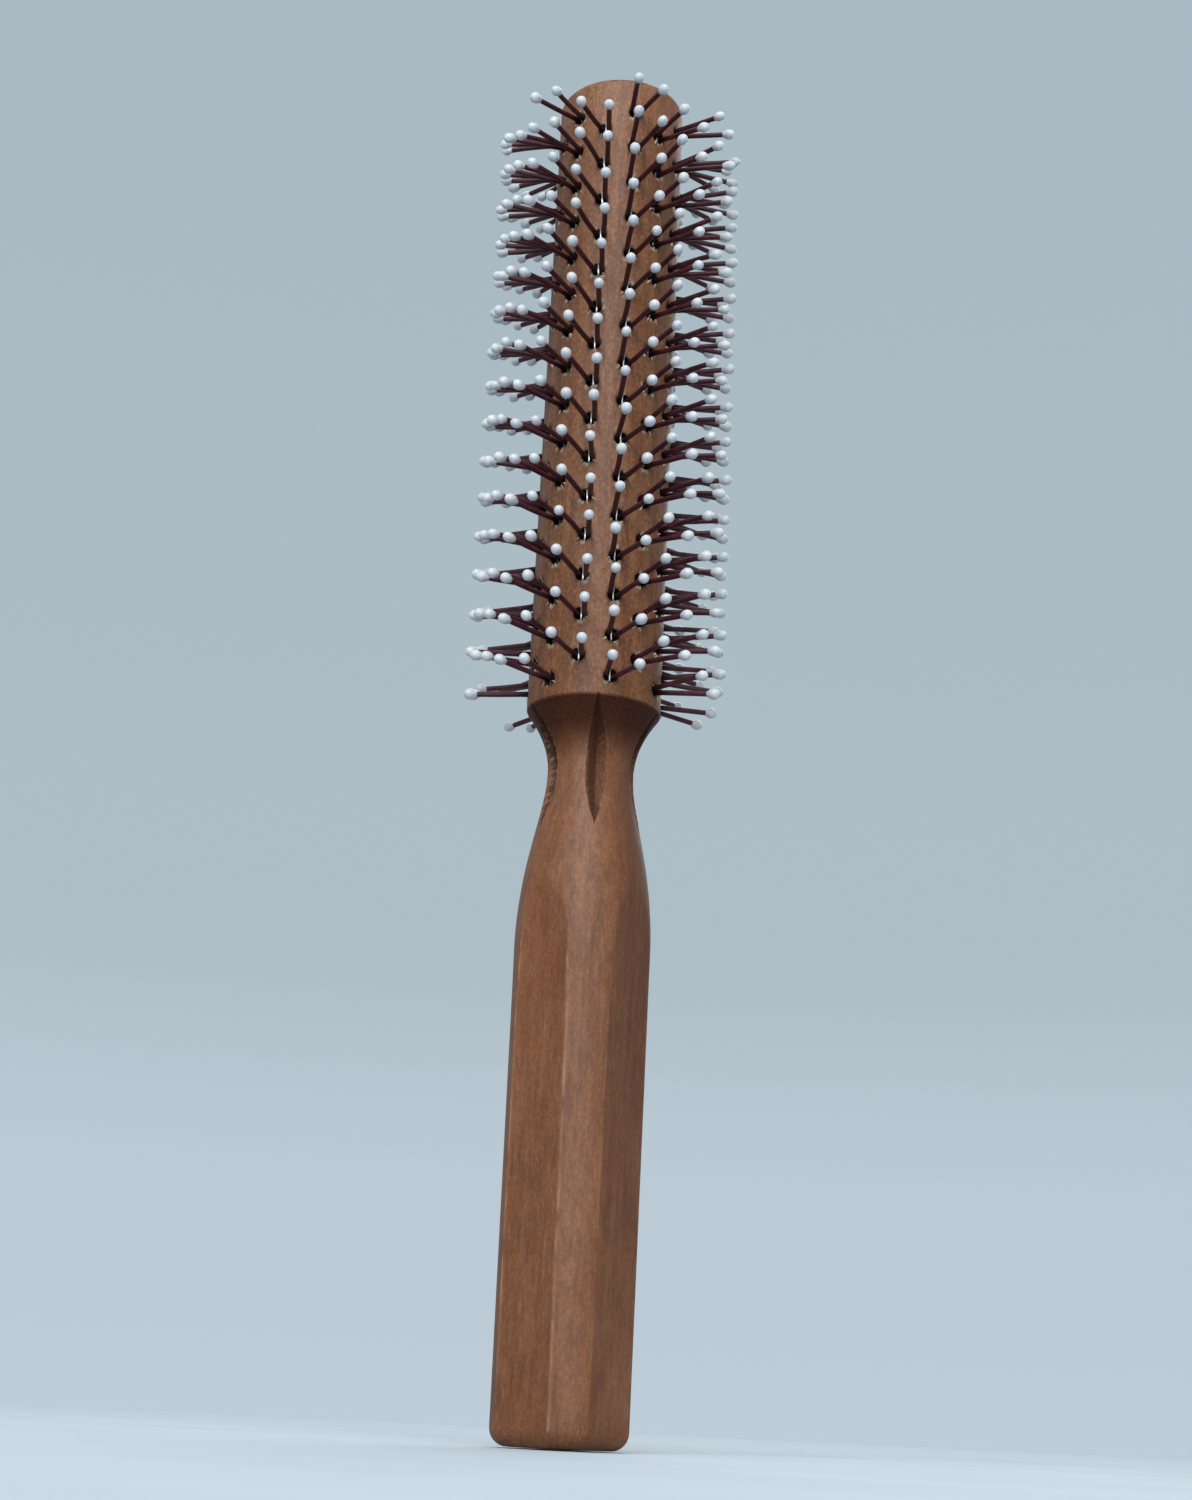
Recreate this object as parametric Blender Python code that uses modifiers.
"""Round barrel hair brush.

A one-piece turned hardwood body, made of barrel, neck and eight-sided handle,
carries fourteen lengthwise rows of drilled holes. Each hole holds one nylon
filament folded in half, so two legs with ball tips fan out of it.

Frame: origin at the centre of the flat butt face, +Z along the brush to the
barrel's end, -Y through the middle of the handle's narrow front side.
Angles are in degrees, measured from -Y towards +X. Dimensions are millimetres
here and metres in the model. _R is a distance from the brush axis unless noted,
_Z a height above the butt.
"""
import math

import bmesh
import bpy
from mathutils import Matrix

MILLIMETRE = 0.001
MERGE_DISTANCE = 0.00001     # metres, closes the turned solids on the axis

# Rows of holes
ROWS = 14
FIRST_ROW_ANGLE = 5.0
PITCH = 6.85
ROW_CENTRE_Z = 166.7
LONG_ROW = 16                # holes in even rows; odd rows have one fewer, half a pitch over
GROUP = 4                    # neighbouring filaments that share one length of anchor wire

# Barrel
LENGTH = 225.0
BARREL_R = 10.76
BARREL_SIDES = 2 * ROWS      # every second facet carries a row of holes
BARREL_END_EDGE = 1.0        # rounding of the far end
BARREL_END_STEPS = 2
RIM_Z = 112.2                # crisp edge where the barrel ends over the neck

# Neck and handle
CORE_R = 9.0                 # top of the neck, hidden inside the barrel
CORE_RISE = 3.0
WAIST_Z = 102.1
WAIST_R = 6.84
COVE_RATE = 0.038            # above the waist the radius grows by this times height squared
COVE_STEPS = 7
SHOULDER_Z = 72.8            # below the waist the neck swells to the handle here
SHOULDER_R = 10.65
WAIST_PULL = 7.3             # lengths of the two tangents of that swelling curve
SHOULDER_PULL = 14.5
SWELL_STEPS = 9
BUTT_R = 10.25
BUTT_EDGE = 2.6
BUTT_STEPS = 3
HANDLE_SIDES = 32

# Four wide planed flats on the handle
FLATS = 4
FIRST_FLAT_ANGLE = 45
FLAT_BUTT_R = 8.96           # distance from the axis at the butt
FLAT_SLOPE = 0.0068          # gain per millimetre of height
FLAT_LIFT_Z = 60.0           # above this the flats curve away towards their arched ends
FLAT_LIFT_RATE = 0.00105
FLAT_STATIONS = (-2.0, 60.0, 66.0, 72.0, 78.0, 84.0, 92.0)
FLAT_CUTTER_R = 16.0         # outer face of the cutting block
FLAT_CUTTER_HALF_WIDTH = 12.0

# Vee flutes on the neck, evenly spaced, from the rim down to a point
FLUTES = 5
FLUTE_CUTTER_R = 14.0        # outer face of the cutting wedge
# Bottom line of the vee as (radius, height); both ends lie outside the neck
FLUTE_ROOT = (
    (BARREL_R + 0.35, 112.9),
    (5.9, 105.8),
    (5.0, 101.0),
    (9.4, 89.6),
)

# Holes
HOLE_CORNER_RADIUS = 1.08    # from the hole's own axis to a corner of its hexagon
HOLE_FLOOR_R = 7.7
WIRE_WAY = 1.2               # height of the passage for the anchor wire at the bottom
DRILL_TOP_R = BARREL_R + 2.0

# Anchor wire
WIRE_WIDTH = 0.6
WIRE_THICKNESS = 0.45
WIRE_BOTTOM_R = HOLE_FLOOR_R + 0.35
WIRE_TOP_R = WIRE_BOTTOM_R + WIRE_THICKNESS
WIRE_OVERHANG = 0.15         # past the outermost legs

# Filament legs and ball tips
LEG_WIDTH = 0.6
TIP_R = 20.1                 # ball centres
TIP_SPREAD = 6.5             # degrees to each side of the row
TIP_WIDTH = 1.56
TIP_BASE = 1.0               # ball centre down to where the leg enters it
TIP_CROWN = 0.98             # ball centre up to its small flat crown
CROWN_WIDTH = 0.74


# Materials, objects and meshes

def material(name, colour, roughness, metallic):
    mat = bpy.data.materials.new(name)
    mat.use_nodes = True
    shader = mat.node_tree.nodes["Principled BSDF"]
    shader.inputs["Base Color"].default_value = colour
    shader.inputs["Roughness"].default_value = roughness
    shader.inputs["Metallic"].default_value = metallic
    mat.diffuse_color = colour
    return mat


def stained_wood():
    return material("stained_wood", colour=(0.21, 0.095, 0.055, 1.0), roughness=0.38, metallic=0.0)


def nylon():
    return material("nylon", colour=(0.10, 0.022, 0.022, 1.0), roughness=0.42, metallic=0.0)


def new_collection(name, parent):
    collection = bpy.data.collections.new(name)
    parent.children.link(collection)
    return collection


def place(name, mesh, collection, mat=None):
    obj = bpy.data.objects.new(name, mesh)
    collection.objects.link(obj)
    if mat is not None:
        mesh.materials.append(mat)
    return obj


def as_cutter(obj):
    obj.hide_render = True
    obj.display_type = "WIRE"


def row_frame(angle):
    """Local X across the row, Y along the brush, Z straight out from its axis."""
    turn = math.radians(angle)
    return Matrix((
        (math.cos(turn), 0.0, math.sin(turn), 0.0),
        (math.sin(turn), 0.0, -math.cos(turn), 0.0),
        (0.0, 1.0, 0.0, 0.0),
        (0.0, 0.0, 0.0, 1.0),
    ))


def finish_mesh(solid, name, angle):
    """Carry a solid from its row frame to the brush, in metres."""
    bmesh.ops.transform(solid, matrix=row_frame(angle), verts=solid.verts[:])
    bmesh.ops.recalc_face_normals(solid, faces=solid.faces[:])
    bmesh.ops.scale(solid, vec=(MILLIMETRE,) * 3, verts=solid.verts[:])
    mesh = bpy.data.meshes.new(name)
    solid.to_mesh(mesh)
    solid.free()
    return mesh


def thicken(solid, height):
    """Extrude the whole sheet outwards; returns the raised faces."""
    raised = bmesh.ops.extrude_face_region(solid, geom=solid.faces[:])["geom"]
    verts = [item for item in raised if isinstance(item, bmesh.types.BMVert)]
    bmesh.ops.translate(solid, vec=(0.0, 0.0, height), verts=verts)
    return [item for item in raised if isinstance(item, bmesh.types.BMFace)]


def extrude_face(solid, face):
    return bmesh.ops.extrude_discrete_faces(solid, faces=[face])["faces"][0]


# Turned profiles, as (radius, height)

def arc(radius, centre_r, centre_z, start, end, steps):
    """Points from start to end, in degrees from the radial direction towards +Z."""
    points = []
    for i in range(steps + 1):
        angle = math.radians(start + (end - start) * i / steps)
        points.append((centre_r + radius * math.cos(angle), centre_z + radius * math.sin(angle)))
    return points


def cove():
    """From the rim down to the waist."""
    points = []
    for i in range(COVE_STEPS + 1):
        z = RIM_Z - (RIM_Z - WAIST_Z) * i / COVE_STEPS
        points.append((WAIST_R + COVE_RATE * (z - WAIST_Z) ** 2, z))
    return points


def swell():
    """Cubic curve from below the waist to the shoulder, parallel to the axis at both ends."""
    radii = (WAIST_R, WAIST_R, SHOULDER_R, SHOULDER_R)
    heights = (WAIST_Z, WAIST_Z - WAIST_PULL, SHOULDER_Z + SHOULDER_PULL, SHOULDER_Z)
    points = []
    for i in range(1, SWELL_STEPS + 1):
        part = i / SWELL_STEPS
        rest = 1.0 - part
        weights = (rest ** 3, 3 * rest * rest * part, 3 * rest * part * part, part ** 3)
        points.append((
            sum(weight * radius for weight, radius in zip(weights, radii)),
            sum(weight * z for weight, z in zip(weights, heights)),
        ))
    return points


def neck_and_handle_profile():
    """From inside the barrel down to the butt."""
    core_z = RIM_Z + CORE_RISE
    butt = arc(BUTT_EDGE, BUTT_R - BUTT_EDGE, BUTT_EDGE, 0.0, -90.0, BUTT_STEPS)
    return [(0.0, core_z), (CORE_R, core_z)] + cove() + swell() + butt + [(0.0, 0.0)]


def barrel_profile():
    """From the far end down to the rim."""
    end = arc(BARREL_END_EDGE, BARREL_R - BARREL_END_EDGE, LENGTH - BARREL_END_EDGE,
              90.0, 0.0, BARREL_END_STEPS)
    return [(0.0, LENGTH)] + end + [(BARREL_R, RIM_Z), (0.0, RIM_Z)]


def turned(name, profile, sides, turn, collection, mat=None):
    """A profile at +X spun about Z; turn rotates the first corner from +X."""
    outline = bmesh.new()
    verts = [outline.verts.new((radius * MILLIMETRE, 0.0, z * MILLIMETRE)) for radius, z in profile]
    for pair in zip(verts, verts[1:]):
        outline.edges.new(pair)
    mesh = bpy.data.meshes.new(name)
    outline.to_mesh(mesh)
    outline.free()
    obj = place(name, mesh, collection, mat)
    obj.rotation_euler = (0.0, 0.0, math.radians(turn))
    spin = obj.modifiers.new("turning", "SCREW")
    spin.axis = "Z"
    spin.angle = 2.0 * math.pi
    spin.steps = sides
    spin.render_steps = sides
    spin.use_merge_vertices = True
    spin.merge_threshold = MERGE_DISTANCE
    return obj


def wood_body(collection):
    """Neck and handle, with a facet centred on the front."""
    return turned("wood_body", neck_and_handle_profile(), HANDLE_SIDES, 180.0 / HANDLE_SIDES,
                  collection, stained_wood())


def barrel_blank(collection):
    """The barrel before drilling, with every second facet centred on a row."""
    corner_angle = FIRST_ROW_ANGLE + 180.0 / BARREL_SIDES
    as_cutter(turned("barrel_blank", barrel_profile(), BARREL_SIDES, corner_angle - 90.0,
                     collection))


# Cutters for the handle and neck

def swept_cutter(name, angle, sections, collection):
    """A closed solid through equal-sided sections, given as points in the row frame."""
    solid = bmesh.new()
    loops = [[solid.verts.new(point) for point in section] for section in sections]
    solid.faces.new(loops[0])
    solid.faces.new(loops[-1])
    for lower, upper in zip(loops, loops[1:]):
        for i in range(len(lower)):
            j = (i + 1) % len(lower)
            solid.faces.new((lower[i], lower[j], upper[j], upper[i]))
    mesh = finish_mesh(solid, name, angle)
    as_cutter(place("%s_%03d" % (name, angle), mesh, collection))


def flat_distance(z):
    """The wide flats' distance from the axis: a slow taper, then a run-out."""
    return FLAT_BUTT_R + FLAT_SLOPE * z + FLAT_LIFT_RATE * max(0.0, z - FLAT_LIFT_Z) ** 2


def flat_cutter(angle, collection):
    """A block whose inner face planes one wide flat of the handle."""
    half, outer = FLAT_CUTTER_HALF_WIDTH, FLAT_CUTTER_R
    sections = []
    for z in FLAT_STATIONS:
        inner = flat_distance(z)
        sections.append(((-half, z, inner), (half, z, inner), (half, z, outer), (-half, z, outer)))
    swept_cutter("flat_cutter", angle, sections, collection)


def flute_cutter(angle, collection):
    """A 90 degree vee swept along the neck with its root on the flute's bottom line."""
    outer = FLUTE_CUTTER_R
    sections = []
    for root, z in FLUTE_ROOT:
        half = outer - root
        sections.append(((0.0, z, root), (half, z, outer), (-half, z, outer)))
    swept_cutter("flute_cutter", angle, sections, collection)


# Holes and bristles

def row_heights(row):
    count = LONG_ROW - row % 2
    return [ROW_CENTRE_Z + PITCH * (i - (count - 1) / 2.0) for i in range(count)]


def hexagon(solid, z):
    """A hole's floor, with flat sides facing its neighbours along the row."""
    ring = bmesh.ops.create_circle(solid, cap_ends=True, radius=HOLE_CORNER_RADIUS,
                                   segments=6)["verts"]
    centre = (0.0, z, HOLE_FLOOR_R)
    bmesh.ops.translate(solid, vec=centre, verts=ring)
    bmesh.ops.rotate(solid, verts=ring, cent=centre,
                     matrix=Matrix.Rotation(math.radians(30.0), 3, "Z"))
    return ring


def group_drill(name, angle, heights, collection):
    """Six-sided holes, joined near their bottoms by a narrow passage for the anchor wire."""
    solid = bmesh.new()
    rings = [hexagon(solid, z) for z in heights]
    for lower, upper in zip(rings, rings[1:]):
        near = sorted(lower, key=lambda v: -v.co.y)[:2]
        far = sorted(upper, key=lambda v: v.co.y)[:2]
        near.sort(key=lambda v: v.co.x)
        far.sort(key=lambda v: v.co.x)
        solid.faces.new((near[0], near[1], far[1], far[0]))
    hole_tops = [face for face in thicken(solid, WIRE_WAY) if len(face.verts) == 6]
    for face in hole_tops:
        mouth = extrude_face(solid, face)
        bmesh.ops.translate(solid, vec=(0.0, 0.0, DRILL_TOP_R - HOLE_FLOOR_R - WIRE_WAY),
                            verts=mouth.verts[:])
    as_cutter(place(name, finish_mesh(solid, name, angle), collection))


def anchor_wire(solid, heights):
    """A flat wire split along its middle and at every leg; returns its upper faces."""
    half = LEG_WIDTH / 2.0
    stations = [heights[0] - half - WIRE_OVERHANG]
    for z in heights:
        stations += [z - half, z + half]
    stations.append(heights[-1] + half + WIRE_OVERHANG)
    spans = len(stations) - 1
    bmesh.ops.create_grid(solid, x_segments=2, y_segments=spans, size=1.0)
    for v in solid.verts:
        station = round((v.co.y + 1.0) / 2.0 * spans)
        v.co = (v.co.x * WIRE_WIDTH / 2.0, stations[station], WIRE_BOTTOM_R)
    return thicken(solid, WIRE_THICKNESS)


def grow_leg(solid, face, z, side):
    """One leaning leg and its square-sectioned ball tip; side is -1 or 1 across the row."""
    spread = math.radians(TIP_SPREAD)
    across = TIP_R * math.sin(spread)
    out = TIP_R * math.cos(spread)
    lean = across / (out - WIRE_TOP_R)
    stages = ((out - TIP_BASE, LEG_WIDTH), (out, TIP_WIDTH), (out + TIP_CROWN, CROWN_WIDTH))
    for height, width in stages:
        face = extrude_face(solid, face)
        centre = face.calc_center_median()
        x = side * (across + lean * (height - out))
        for v in face.verts:
            v.co = (x + math.copysign(width / 2.0, v.co.x - centre.x),
                    z + math.copysign(width / 2.0, v.co.y - centre.y),
                    height)


def bristle_group(name, angle, heights, collection, mat):
    """Folded filaments grown out of the upper side of one length of anchor wire."""
    solid = bmesh.new()
    roots = []
    for face in anchor_wire(solid, heights):
        centre = face.calc_center_median()
        nearest = min(heights, key=lambda z: abs(z - centre.y))
        # Faces between the legs are centred far from any hole.
        if abs(nearest - centre.y) < 0.1:
            roots.append((face, nearest, math.copysign(1.0, centre.x)))
    for face, z, side in roots:
        grow_leg(solid, face, z, side)
    place(name, finish_mesh(solid, name, angle), collection, mat)


def drills_and_bristles(drills, parts):
    mat = nylon()
    for row in range(ROWS):
        angle = FIRST_ROW_ANGLE + 360.0 * row / ROWS
        heights = row_heights(row)
        for letter, first in zip("abcd", range(0, len(heights), GROUP)):
            label = "%02d_%s" % (row + 1, letter)
            group = heights[first:first + GROUP]
            group_drill("drill_" + label, angle, group, drills)
            bristle_group("bristle_row_" + label, angle, group, parts, mat)


def boolean(obj, name, operation, collection):
    mod = obj.modifiers.new(name, "BOOLEAN")
    mod.operation = operation
    mod.operand_type = "COLLECTION"
    mod.collection = collection
    mod.solver = "EXACT"


def main():
    for obj in list(bpy.data.objects):
        bpy.data.objects.remove(obj)
    scene_root = bpy.context.scene.collection
    parts = new_collection("round_barrel_brush", scene_root)
    cutters = new_collection("cutters", scene_root)
    flats, flutes, blanks, drills = (
        new_collection(name, cutters) for name in ("flats", "flutes", "blanks", "drills"))

    body = wood_body(parts)
    barrel_blank(blanks)
    for i in range(FLATS):
        flat_cutter(FIRST_FLAT_ANGLE + 360 // FLATS * i, flats)
    for i in range(FLUTES):
        flute_cutter(360 // FLUTES * i, flutes)
    drills_and_bristles(drills, parts)

    # The barrel joins after the flutes, so that they stop at its rim.
    boolean(body, "planed_flats", "DIFFERENCE", flats)
    boolean(body, "vee_flutes", "DIFFERENCE", flutes)
    boolean(body, "barrel", "UNION", blanks)
    boolean(body, "holes", "DIFFERENCE", drills)


main()
